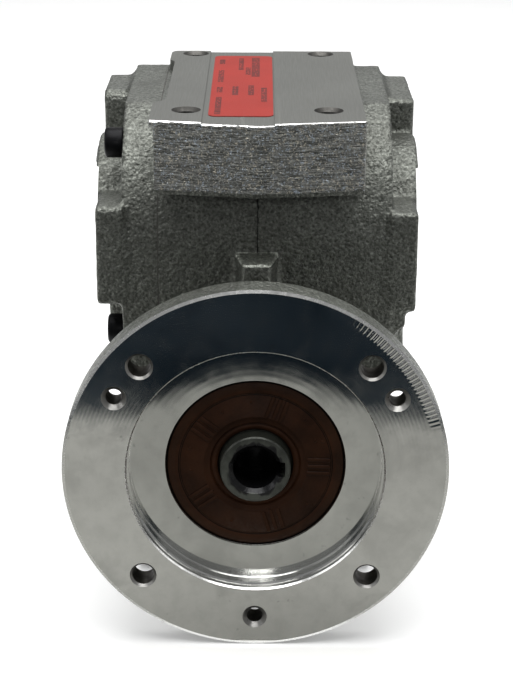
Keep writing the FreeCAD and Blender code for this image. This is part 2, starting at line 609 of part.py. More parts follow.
pin_shape = spur("pin", 25, MOD, 1.4, 1.85, 16.0, -16.0, math.pi / 2, 0.12)
pin_shape = pin_shape.cut(Part.makeCylinder(10.0, 30.0, V(-25, 0, 0), V(1, 0, 0)))
pin_shape = pin_shape.cut(Part.makeBox(30.0, 6.0, 7.5, V(-25, -3.0, 5.0)))
pin = doc.addObject("Part::Feature", "pin")
pin.Shape = pin_shape
place(pin, 0.0, "out_y", 0.0)
node(pin, "intermediate_pinion")

# Straight bevel pair, apex where the input and intermediate axes cross.
Z1, Z2, ADD, DED, FACE, ALPHA = 12, 48, 0.9, 1.2, 10.0, math.radians(25.0)
SLACK = 0.16
DELTA1 = math.atan2(Z1, Z2)
CONE = MOD * Z2 / 2.0 / math.cos(DELTA1)


def bevel_teeth(teeth, delta, first, to_world):
    """One solid per tooth: flat facets along rays from the apex between
    two flat ends square to the pitch line."""
    r = MOD * teeth / 2.0
    rv = r / math.cos(delta)
    zv = teeth / math.cos(delta)
    flank = tooth_flank(zv, rv, rv * math.cos(ALPHA), rv + ADD, rv - DED - 0.5, ALPHA, SLACK, 6)
    outline = [(p, -h) for p, h in flank] + [(p, h) for p, h in reversed(flank)]
    solids = []
    for k in range(teeth):
        c = first + 2 * math.pi * k / teeth
        rays = []
        for p, h in outline:
            t = c + h / math.cos(delta)
            rad = p * math.cos(delta)
            axial = CONE / math.cos(delta) - p * math.sin(delta)
            rays.append(V(axial, rad * math.cos(t), rad * math.sin(t)))
        u = V(math.cos(delta), math.sin(delta) * math.cos(c), math.sin(delta) * math.sin(c))
        rings = []
        for dist in (CONE, CONE - FACE):
            rings.append([to_world(v * (dist / v.dot(u))) for v in rays])
        n = len(rays)
        faces = [Part.Face(Part.makePolygon(rings[0] + [rings[0][0]])),
                 Part.Face(Part.makePolygon(rings[1] + [rings[1][0]]))]
        for i in range(n):
            j = (i + 1) % n
            faces.append(Part.Face(Part.makePolygon(
                [rings[0][i], rings[0][j], rings[1][j], rings[1][i], rings[0][i]])))
        solid = Part.Solid(Part.Shell(faces))
        if solid.Volume < 0:
            solid.reverse()
        solids.append(solid)
    return solids


def root_point(delta, scale):
    """(axial, radius) on the root cone at a fraction of the cone distance."""
    return (scale * (CONE * math.cos(delta) + DED * math.sin(delta)),
            scale * (CONE * math.sin(delta) - DED * math.cos(delta)))


def revolved(points, origin, axis, to_world):
    wire = Part.makePolygon([to_world(V(a, r, 0)) for a, r in points + [points[0]]])
    return Part.Face(wire).revolve(origin, axis, 360)


# Crown wheel: axis +X, gap towards -Y.
DELTA2 = math.pi / 2 - DELTA1
same = lambda v: V(v.x, v.y, v.z)
big, small = root_point(DELTA2, 1 + 0.4 / CONE), root_point(DELTA2, 1 - (FACE + 0.4) / CONE)
blank = revolved([big, (big[0] + 4.8, big[1] - 1.2), (20.0, 25.0), (20.0, 15.0), (26.5, 15.0),
                  (26.5, 10.0), (8.0, 10.0), (8.0, 24.0), small], V(0, 0, 0), V(1, 0, 0), same)
crown_shape = blank.fuse(bevel_teeth(Z2, DELTA2, math.pi + math.pi / Z2, same))
crown_shape = crown_shape.cut(Part.makeBox(30.0, 6.0, 7.5, V(5, -3.0, 5.0)))
crown = doc.addObject("Part::Feature", "crown")
crown.Shape = crown_shape
place(crown, 0.0, "out_y", 0.0)
node(crown, "crown_gear")

# Bevel pinion with a stem pressed into the input shaft: axis towards -Y,
# one tooth towards +X.
facing = lambda v: V(v.y, -v.x, v.z)
big, small = root_point(DELTA1, 1 + 0.4 / CONE), root_point(DELTA1, 1 - (FACE + 0.4) / CONE)
stem = value("out_y") - 40.0
blank = revolved([small, big, (big[0] + 1.6, big[1]), (stem - 16.0, 9.0), (stem - 16.0, 6.0),
                  (stem, 6.0), (stem, 0.0), (small[0], 0.0)], V(0, 0, 0), V(0, 1, 0), facing)
pinion_shape = blank.fuse(bevel_teeth(Z1, DELTA1, 0.0, facing))
pinion = doc.addObject("Part::Feature", "pinion")
pinion.Shape = pinion_shape
place(pinion, 0.0, "out_y", 0.0)
node(pinion, "bevel_pinion")

# ------------------------------------------------------------- label and plug
label = padded("label", "XY_Plane", [(-15.4, 42.0), (5.0, 42.0), (5.0, 136.3), (-15.4, 136.3)],
               "block_top-label_deep", "label_thk", [((0, 1, 2, 3), 2.5)])
node(label, "rating_label")
plug_head = doc.addObject("Part::Prism", "plug_head")
plug_head.Polygon, plug_head.Circumradius, plug_head.Height = 6, 7.5, 5.0
place(plug_head, 0.0, 145.5, -40.0, TURN["Y"])
plug_stem = cyl("plug_stem", "Y", 4.0, 133.0, 146.0, 0.0, -40.0)
node(fuse("plug", [plug_head, plug_stem]), "drain_plug")
node(cut("washer", cyl("washer_out", "Y", 7.2, 144.0, 145.5, 0.0, -40.0),
         cyl("washer_in", "Y", 4.0, 143.0, 147.0, 0.0, -40.0)), "plug_washer")

# --------------------------------------------------------------------- output
doc.recompute()
faults = []
for obj in doc.Objects:
    if any(word in obj.State for word in ("Invalid", "Error")):
        faults.append("%s %s" % (obj.Name, obj.State))
for obj in NODES:
    shape = obj.Shape
    if shape.isNull() or not shape.isValid() or shape.Volume <= 0:
        faults.append("shape " + obj.Label)
if faults:
    raise RuntimeError("; ".join(faults))
for obj in NODES:
    obj.Shape.exportStep("parts/%s.step" % obj.Label)
    print("%-30s solids %2d  volume %10.1f" % (obj.Label, len(obj.Shape.Solids), obj.Shape.Volume))
print(len(NODES), "nodes")
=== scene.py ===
import math
import random

import bmesh
import bpy
import numpy as np
from mathutils import Matrix, Vector, noise


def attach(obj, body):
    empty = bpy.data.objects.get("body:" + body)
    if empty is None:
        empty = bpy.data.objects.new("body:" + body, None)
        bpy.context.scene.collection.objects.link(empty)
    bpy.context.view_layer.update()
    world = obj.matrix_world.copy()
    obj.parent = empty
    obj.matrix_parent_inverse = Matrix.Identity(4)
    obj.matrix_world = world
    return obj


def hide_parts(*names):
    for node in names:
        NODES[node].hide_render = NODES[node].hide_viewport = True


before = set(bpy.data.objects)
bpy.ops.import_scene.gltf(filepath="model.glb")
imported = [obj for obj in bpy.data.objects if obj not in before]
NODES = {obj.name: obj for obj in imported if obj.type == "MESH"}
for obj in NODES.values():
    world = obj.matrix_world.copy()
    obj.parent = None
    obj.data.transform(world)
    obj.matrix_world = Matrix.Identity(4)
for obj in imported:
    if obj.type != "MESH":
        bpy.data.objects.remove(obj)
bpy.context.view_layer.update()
MM = 0.001
OY, OZ = 94.15, 56.25
rng = random.Random(7)


# ------------------------------------------------------------------ materials
class Mat:
    """A node material built step by step around one Principled shader."""

    def __init__(self, name, color, metallic, rough):
        self.m = bpy.data.materials.new(name)
        self.m.use_nodes = True
        self.t = self.m.node_tree
        self.b = self.t.nodes["Principled BSDF"]
        self.b.inputs["Base Color"].default_value = (*color, 1)
        self.b.inputs["Metallic"].default_value = metallic
        self.b.inputs["Roughness"].default_value = rough
        self.pos = self.t.nodes.new("ShaderNodeTexCoord").outputs["Object"]

    def new(self, kind, **props):
        n = self.t.nodes.new(kind)
        for k, v in props.items():
            setattr(n, k, v)
        return n

    def link(self, a, b):
        self.t.links.new(a, b)

    def scaled(self, scale):
        n = self.new("ShaderNodeMapping")
        n.inputs["Scale"].default_value = scale
        self.link(self.pos, n.inputs["Vector"])
        return n.outputs["Vector"]

    def noise(self, scale, detail=2.0, rough=0.5, vec=None, distortion=0.0):
        n = self.new("ShaderNodeTexNoise")
        n.inputs["Scale"].default_value = scale
        n.inputs["Detail"].default_value = detail
        n.inputs["Roughness"].default_value = rough
        n.inputs["Distortion"].default_value = distortion
        self.link(vec or self.pos, n.inputs["Vector"])
        return n.outputs["Fac"]

    def voronoi(self, scale, feature="F1", vec=None, out="Distance"):
        n = self.new("ShaderNodeTexVoronoi", feature=feature)
        n.inputs["Scale"].default_value = scale
        self.link(vec or self.pos, n.inputs["Vector"])
        return n.outputs[out]

    def math(self, op, a, b=None, c=None, clamp=False):
        n = self.new("ShaderNodeMath", operation=op, use_clamp=clamp)
        for i, v in enumerate((a, b, c)):
            if v is None:
                continue
            if isinstance(v, (int, float)):
                n.inputs[i].default_value = v
            else:
                self.link(v, n.inputs[i])
        return n.outputs[0]

    def range(self, v, a, b, c, d, smooth=False):
        n = self.new("ShaderNodeMapRange")
        if smooth:
            n.interpolation_type = "SMOOTHSTEP"
        self.link(v, n.inputs[0])
        for i, x in enumerate((a, b, c, d), start=1):
            n.inputs[i].default_value = x
        return n.outputs[0]

    def mix(self, fac, a, b):
        n = self.new("ShaderNodeMix", data_type="RGBA")
        if isinstance(fac, (int, float)):
            n.inputs[0].default_value = fac
        else:
            self.link(fac, n.inputs[0])
        for sock, v in ((n.inputs[6], a), (n.inputs[7], b)):
            if isinstance(v, tuple):
                sock.default_value = (*v, 1)
            else:
                self.link(v, sock)
        return n.outputs[2]

    def color(self, v):
        self.link(v, self.b.inputs["Base Color"])
        return self

    def rough(self, v):
        self.link(v, self.b.inputs["Roughness"])
        return self

    def bump(self, *layers):
        """layers: (height socket, distance in metres)."""
        last = None
        for h, dist in layers:
            n = self.new("ShaderNodeBump")
            n.inputs["Strength"].default_value = 1.0
            n.inputs["Distance"].default_value = dist
            self.link(h, n.inputs["Height"])
            if last is not None:
                self.link(last, n.inputs["Normal"])
            last = n.outputs["Normal"]
        self.link(last, self.b.inputs["Normal"])
        return self

    def axes(self):
        n = self.new("ShaderNodeSeparateXYZ")
        self.link(self.pos, n.inputs[0])
        return n.outputs

    def ring(self, cx, cz):
        """Distance from the line x=cx, z=cz, in metres."""
        x, _, z = self.axes()
        dx = self.math("SUBTRACT", x, cx)
        dz = self.math("SUBTRACT", z, cz)
        return self.math("SQRT", self.math("ADD", self.math("MULTIPLY", dx, dx),
                                           self.math("MULTIPLY", dz, dz)))


def cast_metal(name, tint=1.0):
    """Sand cast aluminium: pebbly skin, with small grains painted bright as glints."""
    k = Mat(name, (0.12, 0.12, 0.115), 0.8, 0.5)
    grain = k.noise(1000, 3, 0.65)
    lumps = k.noise(360, 2, 0.55)
    broad = k.noise(48, 3, 0.5)
    cells = k.voronoi(820, "SMOOTH_F1")
    flecks = k.voronoi(1500, out="Color")
    bw = k.new("ShaderNodeRGBToBW")
    k.link(flecks, bw.inputs[0])
    painted_glints = k.range(bw.outputs[0], 0.62, 0.80, 0.0, 1.0)
    a = tuple(tint * v for v in (0.104, 0.109, 0.096))
    b = tuple(tint * v for v in (0.198, 0.206, 0.184))
    c = tuple(tint * v for v in (0.50, 0.52, 0.47))
    base = k.mix(k.range(grain, 0.36, 0.64, 0, 1), a, b)
    # painted glints: a few scattered grains mixed towards a bright colour
    base = k.mix(k.math("MULTIPLY", painted_glints, 0.24), base, c)
    pits = k.range(cells, 0.10, 0.32, 0.55, 0.0)
    base = k.mix(pits, base, tuple(tint * v for v in (0.030, 0.031, 0.028)))
    dirt = k.range(broad, 0.30, 0.60, 0.35, 0.0, True)
    base = k.mix(dirt, base, tuple(tint * v for v in (0.060, 0.060, 0.053)))
    k.color(base)
    k.rough(k.range(grain, 0.3, 0.7, 0.50, 0.28))
    k.bump((lumps, 0.00046), (cells, 0.00030), (grain, 0.00044))
    return k.m


def sawn_face(name):
    """Cast skin dressed with a coarse belt: level streaks over the grain."""
    k = Mat(name, (0.22, 0.22, 0.21), 0.85, 0.4)
    streak = k.noise(1.0, 3, 0.6, k.scaled((230, 230, 2300)))
    fine = k.noise(1.0, 2, 0.5, k.scaled((1100, 1100, 3600)))
    grain = k.noise(1250, 3, 0.65)
    grit = k.voronoi(2600, out="Color")
    bw = k.new("ShaderNodeRGBToBW")
    k.link(grit, bw.inputs[0])
    base = k.mix(k.range(streak, 0.38, 0.64, 0, 1), (0.112, 0.115, 0.106), (0.45, 0.455, 0.43))
    base = k.mix(k.range(grain, 0.40, 0.62, 0.45, 0.0), base, (0.06, 0.06, 0.055))
    base = k.mix(k.range(fine, 0.62, 0.74, 0.0, 0.6), base, (0.62, 0.62, 0.60))
    # painted glints: single grains mixed towards a bright colour with a slight tint, warm or cool
    glint = k.range(bw.outputs[0], 0.66, 0.82, 0.0, 0.75)
    tint = k.mix(k.range(k.noise(640, 1, 0.5), 0.45, 0.55, 0, 1), (0.74, 0.68, 0.56), (0.54, 0.61, 0.70))
    base = k.mix(glint, base, tint)
    k.color(base)
    k.rough(k.range(grain, 0.3, 0.7, 0.50, 0.30))
    k.bump((streak, 0.00022), (fine, 0.00016), (grain, 0.00022))
    return k.m


def milled(name, color=(0.135, 0.137, 0.126)):
    """Fine milled aluminium plane with faint sweep marks."""
    k = Mat(name, color, 0.55, 0.5)
    sweep = k.noise(1.0, 2, 0.5, k.scaled((2600, 90, 90)))
    cloud = k.noise(30, 3, 0.5)
    lo = tuple(0.93 * v for v in color)
    hi = tuple(1.06 * v for v in color)
    k.color(k.mix(k.range(cloud, 0.3, 0.7, 0, 1), lo, hi))
    k.rough(k.range(sweep, 0.3, 0.7, 0.46, 0.56))
    k.bump((sweep, 0.000008))
    return k.m


def greasy_hub(name):
    """Turned steel with a film of grease and dark smears round the bore."""
    k = Mat(name, (0.10, 0.10, 0.095), 0.45, 0.34)
    r = k.ring(0.0, 0.0)
    smear = k.noise(1.0, 2, 0.5, k.scaled((230, 230, 120)), 0.8)
    cloud = k.noise(130, 4, 0.65)
    base = k.mix(k.range(cloud, 0.35, 0.65, 0, 1), (0.040, 0.043, 0.037), (0.098, 0.104, 0.090))
    # the shaft's side, beyond 10.7 mm from the axis, is painted darker than its face
    base = k.mix(k.range(r, 0.0107, 0.0112, 0.0, 1.0, True), base, (0.046, 0.050, 0.040))
    reach = k.math("ADD", k.math("MULTIPLY", r, 1000.0 / 3.6),
                   k.range(smear, 0.3, 0.7, -0.66, -0.10))
    inside = k.range(reach, 1.98, 2.22, 1.0, 0.0, True)
    base = k.mix(inside, base, (0.010, 0.010, 0.011))
    k.color(base)
    k.rough(k.math("SUBTRACT", k.range(cloud, 0.3, 0.7, 0.30, 0.46), k.math("MULTIPLY", inside, 0.16)))
    k.bump((smear, 0.00020), (cloud, 0.00004))
    return k.m


def turned_face(name, color, rough, ring_pitch=0.00035, depth=0.000004, stain=0.35, chatter=False,
                far=None):
    """Lathe turned metal: fine rings round the input axis, faint stains.
    far: roughness near the outer wall, for a floor that shines there."""
    k = Mat(name, color, 1.0, rough)
    r = k.ring(0.0, 0.0)
    wave = k.math("SINE", k.math("MULTIPLY", r, 2 * math.pi / ring_pitch))
    wob = k.noise(90, 3, 0.6)
    blot = k.noise(42, 4, 0.62, distortion=0.6)
    spots = k.noise(300, 2, 0.6)
    mott = k.noise(170, 4, 0.65)
    dark = tuple(0.74 * v for v in color)
    base = k.mix(k.range(blot, 0.50, 0.70, 0.0, stain, True), color, dark)
    base = k.mix(k.range(mott, 0.42, 0.66, 0.0, 0.48), base, tuple(0.80 * v for v in color))
    base = k.mix(k.range(spots, 0.68, 0.76, 0.0, 0.55), base, tuple(0.35 * v for v in color))
    rf = k.math("ADD", k.range(wob, 0.35, 0.68, rough * 0.8, rough * 1.35),
                k.range(mott, 0.45, 0.7, 0.0, 0.05))
    if far is not None:
        near = k.range(r, 0.033, 0.038, 0.0, 1.0, True)
        rf = k.math("ADD", k.math("MULTIPLY", rf, k.math("SUBTRACT", 1.0, near)),
                    k.math("MULTIPLY", near, far))
    k.rough(rf)
    layers = [(wave, depth), (wob, 0.000006), (mott, 0.0000015)]
    if chatter:
        x, _, z = k.axes()
        ang = k.math("ARCTAN2", z, x)
        tick = k.math("SINE", k.math("MULTIPLY", ang, 360.0 / 1.45))
        edge = k.range(r, 0.0555, 0.0572, 0.0, 1.0, True)
        span = k.math("MULTIPLY", k.range(ang, math.radians(15), math.radians(22), 0, 1, True),
                      k.range(ang, math.radians(38), math.radians(78), 1, 0, True))
        mask = k.math("MULTIPLY", edge, span)
        ticks = k.math("MULTIPLY", tick, mask)
        layers.append((ticks, 0.00008))
        base = k.mix(k.math("MULTIPLY", k.range(ticks, 0.1, 0.8, 0.0, 1.0), 0.6), base,
                     tuple(0.45 * v for v in color))
    k.color(base)
    k.bump(*layers)
    return k.m


def steel(name, color, rough, grime=0.0, scale=300):
    k = Mat(name, color, 1.0, rough)
    n = k.noise(scale, 3, 0.6)
    big = k.noise(60, 3, 0.6)
    dark = tuple(v * (1 - grime) for v in color)
    k.color(k.mix(k.range(big, 0.38, 0.62, 0, 1, True), color, dark))
    k.rough(k.range(n, 0.3, 0.7, rough * 0.75, min(0.9, rough * 1.35)))
    k.bump((k.noise(1600, 2, 0.5), 0.000012))
    return k.m


def black_oxide(name):
    k = Mat(name, (0.007, 0.007, 0.008), 0.5, 0.42)
    k.b.inputs["Specular IOR Level"].default_value = 0.2
    n = k.noise(700, 3, 0.6)
    worn = k.noise(180, 4, 0.65)
    k.color(k.mix(k.range(worn, 0.60, 0.74, 0.0, 0.5), (0.006, 0.006, 0.007), (0.032, 0.032, 0.034)))
    k.rough(k.range(n, 0.3, 0.7, 0.30, 0.50))
    k.bump((n, 0.00002))
    return k.m


def rubber(name, color, rough=0.45, spec=0.3):
    k = Mat(name, color, 0.0, rough)
    k.b.inputs["Specular IOR Level"].default_value = spec
    n = k.noise(1400, 3, 0.6)
    cloud = k.noise(85, 4, 0.6)
    lo = tuple(0.62 * v for v in color)
    hi = tuple(min(1.0, 1.35 * v) for v in color)
    k.color(k.mix(k.range(cloud, 0.32, 0.68, 0, 1), lo, hi))
    k.rough(k.range(n, 0.3, 0.7, rough * 0.8, rough * 1.3))
    k.bump((n, 0.00003))
    return k.m


def film(name, color, rough=0.5):
    k = Mat(name, color, 0.0, rough)
    k.b.inputs["Specular IOR Level"].default_value = 0.2
    cloud = k.noise(70, 3, 0.6)
    weave = k.noise(2400, 2, 0.5)
    k.color(k.mix(k.range(cloud, 0.3, 0.7, 0, 1), tuple(0.93 * v for v in color),
                  tuple(min(1, 1.06 * v) for v in color)))
    k.rough(k.range(weave, 0.3, 0.7, rough * 0.9, rough * 1.15))
    k.bump((weave, 0.000015))
    return k.m


M = {
    "cast": cast_metal("cast_aluminium", 0.93),
    "cast_cover": cast_metal("cast_aluminium_cover", 0.93),
    "sawn": sawn_face("dressed_casting"),
    "edge": steel("burnished_edge", (0.90, 0.90, 0.88), 0.30, 0.1, 900),
    "milled": milled("milled_aluminium"),
    "bore": steel("drilled_aluminium", (0.20, 0.20, 0.19), 0.38, 0.5, 500),
    "hole": steel("stained_bore", (0.115, 0.108, 0.098), 0.55, 0.4, 400),
    "sink": steel("turned_sink", (0.34, 0.335, 0.32), 0.36, 0.35, 500),
    "top_sink": steel("drilled_edge", (0.105, 0.102, 0.095), 0.5, 0.4, 500),
    "flange": turned_face("turned_flange", (0.82, 0.82, 0.795), 0.092, 0.0012, 0.0000011, stain=0.8, chatter=True),
    "rim": cast_metal("turned_rim", 1.25),
    "chamfer": steel("turned_chamfer", (0.92, 0.92, 0.90), 0.24, 0.05, 500),
    "wall": turned_face("turned_register_wall", (0.72, 0.72, 0.70), 0.16, 0.0007, 0.000003),
    "floor": turned_face("turned_register_floor", (0.66, 0.665, 0.64), 0.10, 0.0021, 0.0000012, stain=0.6, far=0.08),
    "seal": rubber("brown_rubber", (0.033, 0.0122, 0.0050), 0.50, 0.12),
    # near-black brown: painted shade for the seal's creases and the foot of its ribs
    "seal_painted_shade": rubber("brown_rubber_painted_shade", (0.0045, 0.0024, 0.0014), 0.6, 0.08),
    "seal_rim": rubber("brown_rubber_rim", (0.030, 0.0118, 0.0050), 0.5, 0.14),
    "black_seal": rubber("black_rubber", (0.020, 0.020, 0.021), 0.46, 0.4),
    "hub": greasy_hub("greasy_steel"),
    "shaft": steel("ground_steel", (0.50, 0.50, 0.50), 0.26, 0.15),
    "gear": steel("gear_steel", (0.36, 0.36, 0.365), 0.30, 0.25),
    "bearing": steel("bearing_steel", (0.62, 0.62, 0.63), 0.14, 0.1),
    "ball": steel("ball_steel", (0.76, 0.76, 0.77), 0.06, 0.05),
    "cage": steel("cage_steel", (0.42, 0.39, 0.34), 0.35, 0.2),
    "screw": black_oxide("black_oxide"),
    "label": film("red_film", (0.31, 0.019, 0.011)),
    "print": film("dark_print", (0.035, 0.020, 0.020), 0.6),
    "gasket": rubber("gasket_paper", (0.075, 0.073, 0.066), 0.7),
    # a darkened copy of the cast colour, 0.35 as bright: painted shade in the parting-line groove
    "pit": cast_metal("cast_crevice_painted_shade", 0.35),
    # a lit copy of the cast colour, 3.2 times as bright: painted light on the top of the boss
    "boss_top_painted_light": cast_metal("cast_boss_top", 3.2),
    "zinc": steel("zinc_plate", (0.50, 0.51, 0.50), 0.30, 0.2),
    "copper": steel("copper", (0.66, 0.33, 0.20), 0.32, 0.25),
}


# -------------------------------------------------------------- mesh helpers
def obj_from(name, verts, faces, mats, sharp=30.0):
    me = bpy.data.meshes.new(name)
    me.from_pydata([Vector(v) * MM for v in verts], [], faces)
    me.update()
    o = bpy.data.objects.new(name, me)
    bpy.context.scene.collection.objects.link(o)
    for m in (mats if isinstance(mats, (list, tuple)) else [mats]):
        me.materials.append(m)
    smooth(o, sharp)
    return o


def smooth(o, angle):
    o.data.shade_smooth()
    if hasattr(o.data, "set_sharp_from_angle"):
        o.data.set_sharp_from_angle(angle=math.radians(angle))


def spot(axis, a, r, t, cy=0.0, cz=0.0):
    """Point at distance a along the axis, radius r, angle t."""
    if axis == "Y":
        return (r * math.cos(t), a, r * math.sin(t) + cz)
    if axis == "X":
        return (a, cy + r * math.cos(t), cz + r * math.sin(t))
    return (r * math.cos(t), cy + r * math.sin(t), a)


def lathe(name, axis, profile, mats, cy=0.0, cz=0.0, seg=128, mat_ids=None, sharp=30.0, wave=None):
    """Closed ring swept round an axis. profile: (along, radius) going round
    the section; mat_ids: material of the band after each point."""
    n = len(profile)
    verts, faces, ids = [], [], []
    for k in range(seg):
        t = 2 * math.pi * k / seg
        for j, (a, r) in enumerate(profile):
            rr = r + (wave(j, k) if wave else 0.0)
            verts.append(spot(axis, a, rr, t, cy, cz))
    for k in range(seg):
        k2 = (k + 1) % seg
        for j in range(n):
            j2 = (j + 1) % n
            faces.append((k * n + j, k * n + j2, k2 * n + j2, k2 * n + j))
            ids.append(mat_ids[j] if mat_ids else 0)
    o = obj_from(name, verts, faces, mats, sharp)
    o.data.polygons.foreach_set("material_index", ids)
    outward(o)
    return o


def outward(o):
    bm = bmesh.new()
    bm.from_mesh(o.data)
    bmesh.ops.recalc_face_normals(bm, faces=bm.faces[:])
    bm.to_mesh(o.data)
    bm.free()


def tube(bm, axis, r1, r2, start, end, a, b, seg=48, mat=0):
    """Closed cone or cylinder in a bmesh, millimetres."""
    turn = {"X": Matrix.Rotation(math.pi / 2, 4, "Y"), "Y": Matrix.Rotation(-math.pi / 2, 4, "X"),
            "Z": Matrix.Identity(4)}[axis]
    mid = (start + end) / 2
    at = {"X": (mid, a, b), "Y": (a, mid, b), "Z": (a, b, mid)}[axis]
    made = bmesh.ops.create_cone(bm, cap_ends=True, cap_tris=False, segments=seg,
                                 radius1=r1 * MM, radius2=r2 * MM, depth=(end - start) * MM,
                                 matrix=Matrix.Translation(Vector(at) * MM) @ turn)
    for f in {f for v in made["verts"] for f in v.link_faces}:
        f.material_index = mat


def block(bm, xs, ys, zs, mat=0):
    made = bmesh.ops.create_cube(bm, size=1.0)
    for v in made["verts"]:
        v.co = Vector([(lo + hi) / 2 + c * (hi - lo) for c, (lo, hi) in
                       zip(v.co, (xs, ys, zs))]) * MM
    for f in {f for v in made["verts"] for f in v.link_faces}:
        f.material_index = mat


def from_bm(bm, name, mats):
    me = bpy.data.meshes.new(name)
    bm.to_mesh(me)
    bm.free()
    o = bpy.data.objects.new(name, me)
    bpy.context.scene.collection.objects.link(o)
    for m in mats:
        me.materials.append(m)
    return o


def bake(o):
    """Apply every modifier of the object."""
    dg = bpy.context.evaluated_depsgraph_get()
    me = bpy.data.meshes.new_from_object(o.evaluated_get(dg), preserve_all_data_layers=True,
                                         depsgraph=dg)
    o.modifiers.clear()
    old = o.data
    o.data = me
    bpy.data.meshes.remove(old)
    return o


def carve(o, cutter, solver="MANIFOLD"):
    """Subtract the cutter, which then goes away."""
    before = len(o.data.polygons)
    for kind in (solver, "EXACT"):
        m = o.modifiers.new("cut", "BOOLEAN")
        m.operation, m.object = "DIFFERENCE", cutter
        try:
            m.solver = kind
        except TypeError:
            m.solver = "EXACT"
        if hasattr(m, "material_mode"):
            m.material_mode = "TRANSFER"
        dg = bpy.context.evaluated_depsgraph_get()
        count = len(o.evaluated_get(dg).data.polygons)
        if count > 0.2 * before:
            break
        o.modifiers.remove(m)
    bake(o)
    bpy.data.objects.remove(cutter)
    return o


# ---------------------------------------------------------------- cast pieces
SCREWS = [(69.3, 87.5), (64.0, 24.5), (121.7, 85.2), (124.3, 24.5), (66.0, -42.0), (122.3, -42.0)]
VOXEL = 0.8


def casting(name, node, push, plugs, mats):
    """Rounded, slightly uneven skin of a cast piece from its CAD node. push:
    (axis, at, by) moves a machined plane outwards before it is cut back."""
    bm = bmesh.new()
    bm.from_mesh(NODES[node].data)
    for axis, low, high, to in push:
        for v in bm.verts:
            if low * MM <= v.co[axis] <= high * MM:
                v.co[axis] = to * MM
    for args in plugs:
        tube(bm, *args)
    o = from_bm(bm, name, mats)
    m = o.modifiers.new("skin", "REMESH")
    m.mode, m.voxel_size = "VOXEL", VOXEL * MM
    bake(o)
    s = o.modifiers.new("soften", "SMOOTH")
    s.factor, s.iterations = 0.5, 8
    bake(o)
    me = o.data
    n = len(me.vertices)
    co = np.empty(n * 3, np.float32)
    me.vertices.foreach_get("co", co)
    co = co.reshape(-1, 3)
    no = np.empty(n * 3, np.float32)
    me.vertices.foreach_get("normal", no)
    no = no.reshape(-1, 3)
    amount = np.empty(n, np.float32)
    for i in range(n):
        p = Vector(co[i]) * 1000.0
        amount[i] = (0.10 * noise.noise(p / 11.0) + 0.07 * noise.noise(p / 4.2 + Vector((9, 3, 5)))
                     + 0.06 * noise.noise(p / 1.9 + Vector((2, 7, 1))))
    co += no * amount[:, None] * MM
    me.vertices.foreach_set("co", co.ravel())
    me.update()
    me.shade_smooth()
    return o


def finish_ids(o, rules):
    """Give faces of the cast skin other materials by where they are."""
    me = o.data
    for p in me.polygons:
        if p.material_index == 0:
            c, n = p.center / MM, p.normal
            for test, index in rules:
                if test(c, n):
                    p.material_index = index
                    break


def boss_cut(bm, x0, x1):
    """Prism over the round boss face, flat on top where the lug begins."""
    ring = []
    for i in range(96):
        t = 2 * math.pi * i / 96
        ring.append((OY + 28.6 * math.cos(t), min(OZ + 28.6 * math.sin(t), 77.4)))
    a = [bm.verts.new(Vector((x0, y, z)) * MM) for y, z in ring]
    b = [bm.verts.new(Vector((x1, y, z)) * MM) for y, z in ring]
    bm.faces.new(a[::-1])
    bm.faces.new(b)
    for i in range(96):
        j = (i + 1) % 96
        bm.faces.new((a[i], a[j], b[j], b[i]))
    bmesh.ops.recalc_face_normals(bm, faces=bm.faces[:])
    for f in bm.faces:
        f.material_index = 1


housing = casting(
    "cast_housing", "gear_housing",
    [(0, -32.01, -31.99, -33.6), (2, 102.6, 103.3, 104.0), (0, 52.95, 53.05, 54.0),
     (2, -60.05, -59.95, -61.0)],
    [("Z", 5.4, 5.4, 84.0, 104.0, x, y) for x in (-22.5, 22.5) for y in (49.15, 139.15)],
    [M["cast"], M["milled"], M["bore"], M["sawn"], M["edge"], M["boss_top_painted_light"]])
bm = bmesh.new()
block(bm, (-70, 70), (-5, 9.7), (-75, 75), 0)
housing = carve(housing, from_bm(bm, "cut_flange", [M["rim"]]))
bm = bmesh.new()
block(bm, (-60, 60), (10, 160), (103.2, 110), 1)
block(bm, (-40, -32), (5, 160), (-70, 101), 1)
housing = carve(housing, from_bm(bm, "cut_faces", [M["bore"], M["milled"]]))
bm = bmesh.new()
block(bm, (-60, 60), (5, 160), (-70, -60), 1)
housing = carve(housing, from_bm(bm, "cut_foot", [M["bore"], M["milled"]]))
bm = bmesh.new()
boss_cut(bm, 53, 60)
housing = carve(housing, from_bm(bm, "cut_boss", [M["bore"], M["milled"]]))
bm = bmesh.new()
block(bm, (-17.2, 5.4), (15, 160), (102.7, 105), 1)
for x in (-22.5, 22.5):
    for y in (49.15, 139.15):
        tube(bm, "Z", 3.4, 3.4, 86.2, 103.0, x, y, 48, 0)
housing = carve(housing, from_bm(bm, "cut_recess", [M["bore"], M["milled"]]))
bm = bmesh.new()
for x in (-22.5, 22.5):
    for y in (49.15, 139.15):
        tube(bm, "Z", 3.3, 4.95, 101.85, 103.5, x, y, 64, 0)
housing = carve(housing, from_bm(bm, "cut_sinks", [M["top_sink"]]))
bm = bmesh.new()
tube(bm, "X", 23.5, 23.5, 33.0, 56.0, OY, OZ, 128, 0)
housing = carve(housing, from_bm(bm, "cut_seat", [M["bore"]]))
